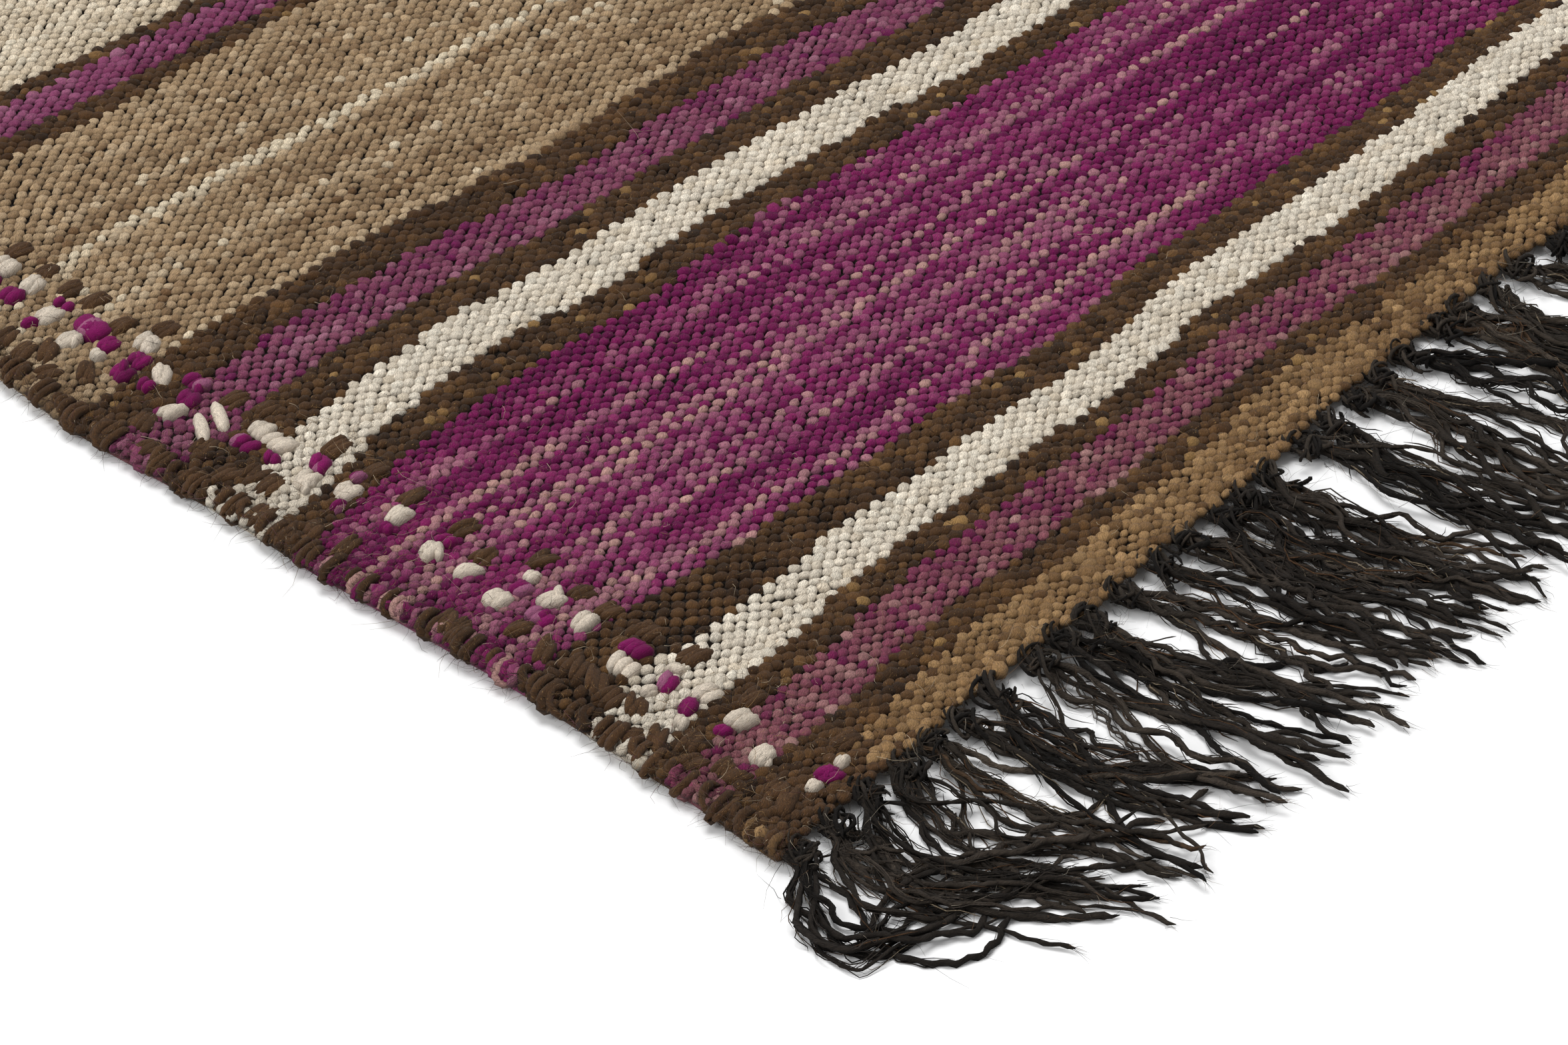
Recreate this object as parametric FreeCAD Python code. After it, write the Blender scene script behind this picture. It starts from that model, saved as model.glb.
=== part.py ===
import FreeCAD, Part
import math
import os

# Flat-woven runner rug, laid flat on the floor. Millimetres, +Z up.
# X runs across the rug along the weft, Y runs along its length with the warp.
# The origin is the centre of the underside.

# --- driving dimensions -----------------------------------------------------
runner_width = 620.0            # selvedge to selvedge
weave_thickness = 4.0           # weft beads on both faces with the warp between them
pattern_repeats = 3             # how often the stripe pattern repeats along the rug

warp_pitch = 2.5                # one warp cord to the next
warp_diameter = 1.2
warp_clearance = 0.1            # between a warp cord and the weft wrapped round it

selvedge_width = 5.0            # bundle of outer warps that the weft turns round

# Stripe widths along Y, from the fringe towards the middle.
end_camel_width = 15.0
end_brown_width = 9.0           # beside the camel end stripe
end_mauve_width = 15.0
end_middle_brown_width = 9.0    # between the mauve and the cream end stripes
end_cream_width = 15.0
end_inner_brown_width = 13.0    # beside the first magenta field
magenta_field_width = 88.0
field_brown_width = 11.0        # between a magenta field and a cream stripe
cream_width = 16.0
middle_brown_width = 12.0       # between a cream and a mauve stripe
mauve_width = 16.0
camel_brown_width = 13.0        # between a mauve stripe and a camel field
camel_field_width = 91.0
lower_brown_width = 7.0         # between a camel field and a narrow magenta stripe
magenta_stripe_width = 12.0
upper_brown_width = 6.0         # between a narrow magenta stripe and a beige field
beige_field_width = 90.0

# Brocade column of knotted supplementary weft along each selvedge.
knot_row_pitch = 12.2           # one row of knots to the next, along Y
knot_height = 1.8               # how far a knot stands above the weave
cream_knot_size = (7.5, 6.0)    # along X, along Y
magenta_knot_size = (6.0, 6.5)
brown_knot_size = (11.0, 6.0)
knot_gap = 0.6                  # between neighbouring knots of a row
brocade_inset = 6.5             # selvedge edge to the outer brown knot

# Fringe of warp ends, gathered in knotted bundles.
fringe_length = 92.0            # end of the weave to the tips
fringe_knot_length = 8.0        # along Y
fringe_knot_width = 9.0
fringe_knot_height = 4.0
bundle_pitch = 12.4             # one bundle to the next, along X
bundle_width = 7.0
bundle_height = 3.0

# --- sizes that follow ------------------------------------------------------
left, right = -1, 1
weft_half_width = runner_width / 2 - selvedge_width
slot_height = warp_diameter + 2 * warp_clearance
slot_bottom = (weave_thickness - slot_height) / 2

end_bands = [
    ("camel_end_stripe", end_camel_width),
    ("brown_stripes", end_brown_width),
    ("mauve_stripe", end_mauve_width),
    ("brown_stripes", end_middle_brown_width),
    ("cream_stripe", end_cream_width),
    ("brown_stripes", end_inner_brown_width),
]
half_repeat = [
    ("brown_stripes", field_brown_width),
    ("cream_stripe", cream_width),
    ("brown_stripes", middle_brown_width),
    ("mauve_stripe", mauve_width),
    ("brown_stripes", camel_brown_width),
    ("camel_field", camel_field_width),
    ("brown_stripes", lower_brown_width),
    ("magenta_stripe", magenta_stripe_width),
    ("brown_stripes", upper_brown_width),
]
magenta_field = ("magenta_field", magenta_field_width)
beige_field = ("beige_field", beige_field_width)
one_repeat = [magenta_field] + half_repeat + [beige_field] + half_repeat[::-1]
bands = end_bands + one_repeat * pattern_repeats + [magenta_field] + end_bands[::-1]

woven_length = sum(width for _, width in bands)
front_end = -woven_length / 2

os.makedirs("parts", exist_ok=True)


def save(name, solids):
    """Writes one node: a single solid, or a group of separate solids."""
    shape = solids[0] if len(solids) == 1 else Part.makeCompound(solids)
    shape.exportStep("parts/" + name + ".step")


def box(x0, x1, y0, y1, z0, z1):
    return Part.makeBox(x1 - x0, y1 - y0, z1 - z0, FreeCAD.Vector(x0, y0, z0))


def oval_pad(x, y, z, length_x, length_y, height):
    """An upright pad of oval outline, its underside centred on x, y, z."""
    long_x = length_x >= length_y
    major, minor = max(length_x, length_y) / 2, min(length_x, length_y) / 2
    ellipse = Part.Ellipse(FreeCAD.Vector(0, 0, 0), major, minor)
    edge = ellipse.toShape()
    if not long_x:
        edge.rotate(FreeCAD.Vector(0, 0, 0), FreeCAD.Vector(0, 0, 1), 90)
    edge.translate(FreeCAD.Vector(x, y, z))
    return Part.Face(Part.Wire([edge])).extrude(FreeCAD.Vector(0, 0, height))


# --- weft stripes -----------------------------------------------------------
def weft_band(y0, y1):
    """One colour of weft as a flat sleeve, with the slot that the warp runs through."""
    sleeve = box(-weft_half_width, weft_half_width, y0, y1, 0, weave_thickness)
    slot_half_width = weft_half_width - slot_bottom
    slot = box(-slot_half_width, slot_half_width, y0, y1, slot_bottom, slot_bottom + slot_height)
    return sleeve.cut(slot)


def save_weft_bands():
    """Every stripe is a node; the brown lines between two fields share one."""
    nodes = {}
    counts = {}
    y = front_end
    for kind, width in bands:
        if kind != "brown_stripes":
            counts[kind] = counts.get(kind, 0) + 1
        if kind in ("camel_end_stripe", "magenta_field", "beige_field"):
            counts["brown_stripes"] = counts.get("brown_stripes", 0) + 1
        name = f"{kind}_{counts[kind]:02d}"
        nodes.setdefault(name, []).append(weft_band(y, y + width))
        y += width
    for name, solids in nodes.items():
        save(name, solids)


# --- warp -------------------------------------------------------------------
def save_warp():
    """Dark warp cords, side by side through every stripe."""
    usable_width = 2 * (weft_half_width - slot_bottom - warp_clearance) - warp_diameter
    gaps = math.floor(usable_width / warp_pitch)
    cords = []
    for number in range(gaps + 1):
        x = (number - gaps / 2) * warp_pitch
        start = FreeCAD.Vector(x, front_end, weave_thickness / 2)
        cords.append(
            Part.makeCylinder(warp_diameter / 2, woven_length, start, FreeCAD.Vector(0, 1, 0))
        )
    save("warp_cords", cords)


# --- selvedges --------------------------------------------------------------
def selvedge_cord(side):
    """A flat bundle of outer warps, rounded on the outside."""
    radius = weave_thickness / 2
    inner = side * weft_half_width
    centre = side * (runner_width / 2 - radius)
    bottom, top = 0, weave_thickness
    corners = [(inner, bottom), (centre, bottom), (centre, top), (inner, top)]
    low_in, low_out, high_out, high_in = [FreeCAD.Vector(x, front_end, z) for x, z in corners]
    outermost = FreeCAD.Vector(side * runner_width / 2, front_end, radius)
    edges = [
        Part.LineSegment(low_in, low_out).toShape(),
        Part.Arc(low_out, outermost, high_out).toShape(),
        Part.LineSegment(high_out, high_in).toShape(),
        Part.LineSegment(high_in, low_in).toShape(),
    ]
    return Part.Face(Part.Wire(edges)).extrude(FreeCAD.Vector(0, woven_length, 0))


# --- brocade knots ----------------------------------------------------------
def brocade_rows(side):
    """The knots of one brocade column, by colour. Cream and magenta swap places row by row."""
    rows = math.floor((woven_length - brown_knot_size[1]) / knot_row_pitch)
    knots = {"brown": [], "cream": [], "magenta": []}
    for row in range(rows + 1):
        y = (row - rows / 2) * knot_row_pitch
        pair = [("cream", cream_knot_size), ("magenta", magenta_knot_size)]
        if row % 2:
            pair.reverse()
        across = [("brown", brown_knot_size)] + pair + [("brown", brown_knot_size)]
        inset = brocade_inset
        for colour, (length_x, length_y) in across:
            x = side * (runner_width / 2 - inset - length_x / 2)
            knots[colour].append(oval_pad(x, y, weave_thickness, length_x, length_y, knot_height))
            inset += length_x + knot_gap
    return knots


# --- fringe -----------------------------------------------------------------
def fringe_row(end):
    """Knots and hanging bundles of warp ends at one end of the weave (-1 front, 1 back)."""
    weave_end = end * woven_length / 2
    gaps = math.floor((runner_width - fringe_knot_width) / bundle_pitch)
    knots, bundles = [], []
    for number in range(gaps + 1):
        x = (number - gaps / 2) * bundle_pitch
        knots.append(lying_bar(x, weave_end, end, fringe_knot_width, fringe_knot_height, fringe_knot_length))
        knot_tip = weave_end + end * fringe_knot_length
        tail = fringe_length - fringe_knot_length
        bundles.append(lying_bar(x, knot_tip, end, bundle_width, bundle_height, tail))
    return knots, bundles


def lying_bar(x, y, end, width, height, length):
    """A bar of flattened round section lying on the floor, from y outwards."""
    radius = height / 2
    half_flat = width / 2 - radius
    low_left = FreeCAD.Vector(x - half_flat, y, 0)
    low_right = FreeCAD.Vector(x + half_flat, y, 0)
    high_right = FreeCAD.Vector(x + half_flat, y, height)
    high_left = FreeCAD.Vector(x - half_flat, y, height)
    edges = [
        Part.LineSegment(low_left, low_right).toShape(),
        Part.Arc(low_right, FreeCAD.Vector(x + width / 2, y, radius), high_right).toShape(),
        Part.LineSegment(high_right, high_left).toShape(),
        Part.Arc(high_left, FreeCAD.Vector(x - width / 2, y, radius), low_left).toShape(),
    ]
    return Part.Face(Part.Wire(edges)).extrude(FreeCAD.Vector(0, end * length, 0))


# --- the rug ----------------------------------------------------------------
save_weft_bands()
save_warp()
for side_name, side in (("left", left), ("right", right)):
    save("selvedge_cord_" + side_name, [selvedge_cord(side)])
    for colour, knots in brocade_rows(side).items():
        save(f"brocade_{colour}_{side_name}", knots)
for end_name, end in (("front", -1), ("back", 1)):
    knots, bundles = fringe_row(end)
    save("fringe_knots_" + end_name, knots)
    save("fringe_bundles_" + end_name, bundles)

print("woven length", woven_length, "over all", woven_length + 2 * fringe_length)
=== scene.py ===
import math

import bpy
import numpy as np
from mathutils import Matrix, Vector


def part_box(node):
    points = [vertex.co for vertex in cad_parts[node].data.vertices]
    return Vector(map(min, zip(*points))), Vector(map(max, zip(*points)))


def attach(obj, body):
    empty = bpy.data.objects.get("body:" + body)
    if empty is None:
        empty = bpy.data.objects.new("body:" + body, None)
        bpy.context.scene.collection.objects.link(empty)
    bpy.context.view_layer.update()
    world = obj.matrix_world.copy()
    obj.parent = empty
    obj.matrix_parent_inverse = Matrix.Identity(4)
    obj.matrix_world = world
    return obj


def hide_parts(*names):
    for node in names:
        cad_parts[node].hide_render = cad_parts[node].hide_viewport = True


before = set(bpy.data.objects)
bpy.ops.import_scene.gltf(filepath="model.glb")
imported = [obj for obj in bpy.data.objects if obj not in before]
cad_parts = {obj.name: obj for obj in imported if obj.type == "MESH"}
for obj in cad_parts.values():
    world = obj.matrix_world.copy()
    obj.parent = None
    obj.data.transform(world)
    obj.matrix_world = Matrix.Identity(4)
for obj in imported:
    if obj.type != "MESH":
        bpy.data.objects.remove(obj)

# A flat-woven runner rug. The cloth is laid out in its own millimetres: `across` counts from the
# left selvedge along the weft, `along` counts from the front end of the weave up the length, and
# `height` counts from the floor. lay() carries those to metres in the frame.
# The corner at the front left is woven bead by bead; the rest of the face is a coarser relief.

BODY = "rug"
METRE = 1000.0
FULL_TURN = 2 * math.pi
DARKEST = 0.002                 # of any dye
PATTERN_SPREAD = 900.0          # yarns start at places up to this far apart in the noise
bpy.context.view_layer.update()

# --- sizes taken from the frame ---------------------------------------------
left_edge, front_end = (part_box("selvedge_cord_left")[0] * METRE)[:2]
right_edge, back_end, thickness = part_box("selvedge_cord_right")[1] * METRE
width = right_edge - left_edge
length = back_end - front_end
knot_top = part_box("brocade_cream_left")[1].z * METRE
fringe_length = front_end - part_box("fringe_bundles_front")[0].y * METRE

# --- sizes of the yarn ------------------------------------------------------
warp_pitch = 2.5                # one warp to the next
pick_pitch = length / round(length / 1.573)   # one pass of weft to the next
columns = int(round(width / warp_pitch))
rows = int(round(length / pick_pitch))
bead_size = np.array([1.92, 1.60, 1.20])      # half length, half width and height
bead_base = thickness - bead_size[2]
MOST_BEADS = 3200               # in one piece
knot_row_pitch = 12.2
bundle_pitch = 12.4
strand_radius = 0.74
strand_twist = 5.5              # length of one full turn of the two plies
HIGHEST_HAIR = 11.0             # above the floor
FREE_SPLAY = 9.0                # how far past the selvedge a strand heads as it likes,
LAST_SPLAY = 8.0                # and how much farther it gets at most
CLOSE_ALONG = 330.0             # the left selvedge and its knots are made finely up to here,
CLOSE_ACROSS = 385.0            # and the front fringe up to here


# --- how the cloth lies -----------------------------------------------------
def eased(share):
    """A share from 0 to 1 that starts and ends level."""
    return share * share * (3 - 2 * share)


def smooth_through(points, x):
    """A curve through (place, value) points, eased so that it is level at each of them."""
    places, values = np.array(points, float).T
    x = np.clip(x, places[0], places[-1])
    after = np.clip(np.searchsorted(places, x, side="right"), 1, len(places) - 1)
    share = eased((x - places[after - 1]) / (places[after] - places[after - 1]))
    return values[after - 1] * (1 - share) + values[after] * share


# How far each selvedge stands in from straight, where the picks lean, and how far the brocade
# pulls the picks back beside the selvedge: (along, value).
left_wander = [(0, -3.0), (40, 0.0), (85, 3.0), (150, 3.5), (190, 5.5), (225, 5.0), (262, 8.5), (330, 8.0),
               (520, 2.0), (760, 6.0), (1000, -1.0), (1250, 4.0), (1500, 0.0), (1700, 3.0), (1878, -2.0)]
right_wander = [(0, -2.0), (180, 3.0), (420, -2.5), (700, 1.0), (950, -4.0), (1200, 2.0), (1480, -3.0),
                (1878, 2.0)]
pick_lean = [(0, 0.055), (55, 0.046), (80, 0.012), (125, 0.004), (183, -0.036), (232, -0.060), (276, -0.082),
             (336, -0.105), (480, -0.05), (700, 0.03), (950, -0.03), (1250, 0.035), (1550, -0.025),
             (1878, -0.02)]
selvedge_pull = [(0, -1.0), (52, -4.0), (80, 3.5), (125, 0.5), (172, -13.0), (200, -9.0), (232, -6.0),
                 (276, -8.0), (336, -4.0), (420, -7.0), (520, 2.0), (640, -6.0), (800, 1.0), (1000, -7.0),
                 (1300, 2.0), (1600, -6.0), (1878, 0.0)]
LEAN_FROM = 170.0               # the picks turn about this place across the rug
LEAN_REACH = 260.0              # and stop leaning further this far from it
PULL_REACH = 52.0


def drift(across, along):
    """How far a point lies from its straight place: wander across, and lean, pull and ripple along."""
    share = across / width
    sideways = smooth_through(left_wander, along) * (1 - share) + smooth_through(right_wander, along) * share
    lean = smooth_through(pick_lean, along) * LEAN_REACH * np.tanh((across - LEAN_FROM) / LEAN_REACH)
    pull = smooth_through(selvedge_pull, along) * np.exp(-((across / PULL_REACH) ** 2))
    ripple = 1.2 * np.sin(across / 33.0 + along / 260.0) + 0.5 * np.sin(across / 11.0 - along / 90.0)
    return sideways, lean + pull + ripple


def lift(across, along):
    """Height of the cloth's underside: a fold line along the rug and slow, low waves."""
    fold = 0.9 * np.exp(-(((across - 150.0) / 9.0) ** 2))
    waves = 0.35 * (1 + np.sin(across / 62.0 + 1.3 * np.sin(along / 170.0)))
    swell = 0.35 * (1 + np.sin(along / 47.0 + across / 210.0))
    return fold + waves + swell


def lay(across, along, height):
    """Points in metres from places in cloth millimetres. Past the weave's ends they come down flat."""
    across, along, height = np.broadcast_arrays(
        np.asarray(across, float), np.asarray(along, float), np.asarray(height, float)
    )
    inside = np.clip(along, 0, length)
    sideways, lengthways = drift(across, inside)
    x = left_edge + across + sideways
    y = front_end + along + lengthways
    hanging = np.maximum(-along, along - length)
    off = np.clip(1 - hanging / 25.0, 0, 1)
    z = height + lift(across, inside) * off
    return np.stack([x, y, z], axis=-1) / METRE


def lay_fringe(end, lines):
    """Fringe lines (n, points, 3), worked out for the front end, laid at the end they belong to."""
    along = lines[..., 1] if end == "front" else length - lines[..., 1]
    return lay(lines[..., 0], along, lines[..., 2])


# --- dyes -------------------------------------------------------------------
LIT = 1.27                      # how bright an even white looks under these lights


def dye(red, green, blue):
    """Yarn colour from the 0-255 colour it shows when lit."""
    shown = np.array([red, green, blue]) / 255.0
    linear = np.where(shown <= 0.04045, shown / 12.92, ((shown + 0.055) / 1.055) ** 2.4)
    return linear / LIT


# The weft yarns, by kind of stripe. Each has the name of its nodes, its slot, its middle shade, how
# far it strays from that in long streaks and from bead to bead, how many of the turns round the
# selvedge beside it are brown brocade yarn, its shades as (place from 0 to 1, red, green, blue),
# darkest first, and the passes of lighter yarn laid in on purpose, as (how far into the stripe, half
# width, how much lighter).
yarns = {
    "camel_end": dict(
        node="camel_end_stripe", slot="camel_weft", middle=0.5, streaks=0.22, beads=0.2, wrapped=0.6,
        shades=[(0.0, 86, 60, 35), (0.5, 136, 105, 69), (1.0, 170, 136, 94)],
    ),
    "brown": dict(
        node="brown_stripes", slot="brown_weft", middle=0.38, streaks=0.16, beads=0.22, wrapped=0.9,
        shades=[(0.0, 52, 34, 18), (0.5, 83, 57, 33), (0.9, 112, 80, 46), (1.0, 150, 117, 72)],
    ),
    "mauve": dict(
        node="mauve_stripe", slot="mauve_weft", middle=0.5, streaks=0.26, beads=0.2, wrapped=0.4,
        shades=[(0.0, 112, 30, 74), (0.5, 136, 82, 90), (1.0, 166, 126, 122)],
    ),
    "cream": dict(
        node="cream_stripe", slot="cream_weft", middle=0.6, streaks=0.2, beads=0.2, wrapped=0.65,
        shades=[(0.0, 214, 199, 176), (0.6, 232, 220, 201), (1.0, 240, 230, 212)],
    ),
    "magenta_field": dict(
        node="magenta_field", slot="magenta_weft", middle=0.31, streaks=0.60, beads=0.12, wrapped=0.3,
        shades=[(0.0, 104, 8, 72), (0.3, 128, 28, 88), (0.5, 144, 68, 106), (0.72, 162, 104, 122),
                (1.0, 184, 142, 134)],
        laid=[(0.50, 1.5, 0.26), (0.43, 1.5, 0.22), (0.25, 1.5, 0.24), (0.80, 4.6, 0.22), (0.70, 1.5, 0.22),
              (0.59, 3.0, 0.18), (0.12, 1.5, 0.18)],
    ),
    "camel_field": dict(
        node="camel_field", slot="camel_weft", middle=0.45, streaks=0.27, beads=0.13, wrapped=0.72,
        shades=[(0.0, 116, 88, 60), (0.5, 173, 146, 112), (0.8, 194, 170, 138), (1.0, 226, 210, 182)],
        laid=[(0.52, 1.9, 0.48), (0.40, 2.4, 0.30), (0.28, 1.4, 0.16), (0.66, 1.6, 0.18)],
    ),
    "magenta_stripe": dict(
        node="magenta_stripe", slot="magenta_weft", middle=0.45, streaks=0.3, beads=0.15, wrapped=0.5,
        shades=[(0.0, 112, 40, 76), (0.5, 140, 68, 106), (1.0, 168, 106, 134)],
        laid=[(0.45, 2.4, 0.2)],
    ),
    "beige": dict(
        node="beige_field", slot="beige_weft", middle=0.5, streaks=0.25, beads=0.13, wrapped=0.5,
        shades=[(0.0, 194, 175, 147), (0.5, 227, 210, 184), (1.0, 245, 233, 210)],
    ),
}
WARP_DYE = dye(28, 22, 17)
FRINGE_DYES = np.array([dye(30, 26, 23), dye(48, 42, 37), dye(66, 58, 50)])


def shade_of(kind, shade):
    """The colour of a weft yarn at shades from 0, its darkest, to 1, its lightest."""
    places = [place for place, *_ in yarns[kind]["shades"]]
    dyes = np.array([dye(*colour) for _, *colour in yarns[kind]["shades"]])
    return np.stack([np.interp(shade, places, band) for band in dyes.T], axis=-1)


# --- stripes ----------------------------------------------------------------
def read_stripes():
    """Every stripe as (kind, from, to) along the rug. Brown fills whatever the other colours leave."""
    kinds = {yarn["node"]: kind for kind, yarn in yarns.items() if kind != "brown"}
    found = []
    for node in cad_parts:
        kind = kinds.get(node[:-3])
        if kind:
            low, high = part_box(node)
            found.append((low.y * METRE - front_end, high.y * METRE - front_end, kind))
    found.sort()
    stripes = []
    reached = 0.0
    for start, end, kind in found:
        if start - reached > 0.5:
            stripes.append(("brown", reached, start))
        stripes.append((kind, start, end))
        reached = end
    return stripes


stripes = read_stripes()
stripe_kinds, stripe_starts, stripe_ends = [np.array(column) for column in zip(*stripes)]


def stripe_at(along):
    """The number of the stripe that a place along the rug falls in."""
    return np.minimum(np.searchsorted(stripe_ends, along), len(stripes) - 1)


def streaks(row, across, run, seed):
    """Values near -1 to 1 that change slowly along a pick, blended between random ones every `run` mm."""
    table = np.random.default_rng(seed).normal(0, 0.5, (int(row.max()) + 3, int(width / run) + 4))
    place = np.clip(across, 0, width) / run
    before = place.astype(int)
    share = eased(place - before)
    return table[row, before] * (1 - share) + table[row, before + 1] * share


def bead_colours(across, row, rng):
    """The colour of every bead: its yarn's shade, moved by streaks, laid-in passes and its own stray."""
    along = (row + 0.5) * pick_pitch
    turning = 1.2 * np.sin(across / 47.0 + along / 23.0) + 0.9 * np.sin(across / 19.0 - along / 31.0)
    number = stripe_at(np.clip(along + turning, 0, length))
    kinds = stripe_kinds[number]
    stripe_height = (stripe_ends - stripe_starts)[number]
    up_stripe = along - stripe_starts[number]
    long_streaks = 0.6 * streaks(row, across, 85.0, 11) + 0.85 * streaks(row // 2, across, 110.0, 14)
    long_streaks = long_streaks + 0.6 * streaks(row // 5, across, 150.0, 12)
    short_streaks = streaks(row, across, 14.0, 13)
    stray = rng.normal(0, 1, len(across))
    flecks = rng.random(len(across))
    colours = np.zeros((len(across), 3))
    for kind, yarn in yarns.items():
        mine = kinds == kind
        shade = yarn["middle"] + yarn["streaks"] * (0.7 * long_streaks + 0.35 * short_streaks)[mine]
        shade = shade + yarn["beads"] * stray[mine]
        for middle, half, lighter in yarn.get("laid", ()):
            away = np.abs(up_stripe[mine] - middle * stripe_height[mine]) / half
            broken = np.clip(1.05 + 0.7 * long_streaks[mine], 0.3, 1.3)
            shade = shade + lighter * np.exp(-(away**4)) * broken
        if kind == "brown":
            shade = np.where(flecks[mine] > 0.996, 1.0, shade)
        if kind == "magenta_field":
            shade = shade - 0.10 * np.clip((across[mine] - 150) / 200.0, -1, 1)
            shade = shade - 0.2 * np.exp(-across[mine] / 25.0)
        if kind == "mauve":
            inside = (up_stripe / stripe_height)[mine]
            shade = shade - 0.22 * np.clip((inside - 0.5) * 3 + long_streaks[mine], 0, 1)
        colours[mine] = shade_of(kind, shade)
    # The mauve stripes turn bluer past the first one, the end stripe starts in brown beside the
    # left selvedge, and the picks are darker towards the selvedges.
    colours[(kinds == "mauve") & (along > 120)] *= [0.97, 0.74, 1.14]
    started = across + 9 * short_streaks + 3 * stray < 52 - 1.3 * along
    colours[(kinds == "camel_end") & started] = dye(88, 62, 38)
    from_edge = np.minimum(across, width - across)
    colours *= (0.72 + 0.28 * np.clip(from_edge / 30.0, 0, 1))[:, None]
    colours *= 1 + 0.07 * rng.normal(0, 1, (len(across), 1))
    return np.clip(colours, DARKEST, 1)


# --- meshes -----------------------------------------------------------------
# A part is (points, face tables, point attributes), with the attributes' kinds and fields here.
attribute_kinds = {
    "dye": ("FLOAT_COLOR", "color"), "fibre": ("FLOAT_VECTOR", "vector"), "weave": ("FLOAT", "value"),
}


def make_mesh(name, part, material):
    """One piece from a part with points (n, 3) in metres and face tables of any corner count."""
    points, faces, attributes = part
    mesh = bpy.data.meshes.new(name)
    mesh.vertices.add(len(points))
    mesh.vertices.foreach_set("co", np.ascontiguousarray(points, np.float32).ravel())
    corners = np.concatenate([table.ravel() for table in faces]).astype(np.int32)
    counts = np.concatenate([np.full(len(table), table.shape[1]) for table in faces])
    starts = np.concatenate([[0], np.cumsum(counts)[:-1]]).astype(np.int32)
    mesh.loops.add(len(corners))
    mesh.loops.foreach_set("vertex_index", corners)
    mesh.polygons.add(len(counts))
    mesh.polygons.foreach_set("loop_start", starts)
    mesh.update(calc_edges=True)
    mesh.shade_smooth()
    for label, values in attributes.items():
        kind, field = attribute_kinds[label]
        values = np.asarray(values, np.float32)
        if label == "dye":
            values = np.concatenate([values, np.ones((len(values), 1), np.float32)], axis=1)
        mesh.attributes.new(label, kind, "POINT").data.foreach_set(field, values.ravel())
    mesh.materials.append(material)
    piece = bpy.data.objects.new(name, mesh)
    bpy.context.scene.collection.objects.link(piece)
    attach(piece, BODY)
    return piece


def joined(parts):
    """One part from several."""
    offset = 0
    points, faces, attributes = [], [], {}
    for part_points, part_faces, part_attributes in parts:
        points.append(part_points)
        faces += [table + offset for table in part_faces]
        for label, values in part_attributes.items():
            attributes.setdefault(label, []).append(values)
        offset += len(part_points)
    return np.concatenate(points), faces, {label: np.concatenate(v) for label, v in attributes.items()}


def coloured(part, colours):
    """The part with a dye for each of the equal yarns it holds."""
    points, faces, attributes = part
    return points, faces, {"dye": np.repeat(colours, len(points) // len(colours), axis=0), **attributes}


def near_and_far(near, fine, coarse):
    """Which members are made finely and which coarsely, each with how, leaving out a choice of none."""
    return [(chosen, *how) for chosen, how in ((near, fine), (~near, coarse)) if chosen.any()]


def unit(vectors):
    """The vectors at length one."""
    return vectors / np.maximum(np.linalg.norm(vectors, axis=-1, keepdims=True), 1e-12)


def any_turn(rng, count=None):
    """Angles drawn from nearly a full turn."""
    return rng.uniform(0, 6.28, count)


def cloth_axes(across, along, height):
    """Directions of the pick, the warp and straight up at places on the cloth."""
    step = 1.0
    pick = unit(lay(across + step, along, height) - lay(across - step, along, height))
    warp = lay(across, along + step, height) - lay(across, along - step, height)
    up = unit(np.cross(pick, warp))
    return pick, np.cross(up, pick), up


def tilted(axes, rng, amount):
    """The same three directions, each set turned at random by about `amount` radians."""
    pick, warp, up = axes
    sway, nod, roll = rng.normal(0, amount, (3, len(pick), 1))
    pick = unit(pick + sway * warp + nod * up)
    up = unit(up - nod * pick + roll * warp)
    warp = np.cross(up, pick)
    return pick, warp, np.cross(pick, warp)


def ring_quads(rings, sides):
    """Four-cornered faces between each ring of points and the next."""
    ring = np.arange(rings - 1)[:, None] * sides
    here = np.arange(sides)
    following = (here + 1) % sides
    quads = np.stack([ring + here, ring + following, ring + sides + following, ring + sides + here], axis=-1)
    return quads.reshape(-1, 4)


def repeated(tables, count, per):
    """Face tables of one shape, numbered on for `count` copies that have `per` points each."""
    base = np.arange(count)[:, None, None] * per
    return [(table[None] + base).reshape(-1, table.shape[1]) for table in tables]


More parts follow.
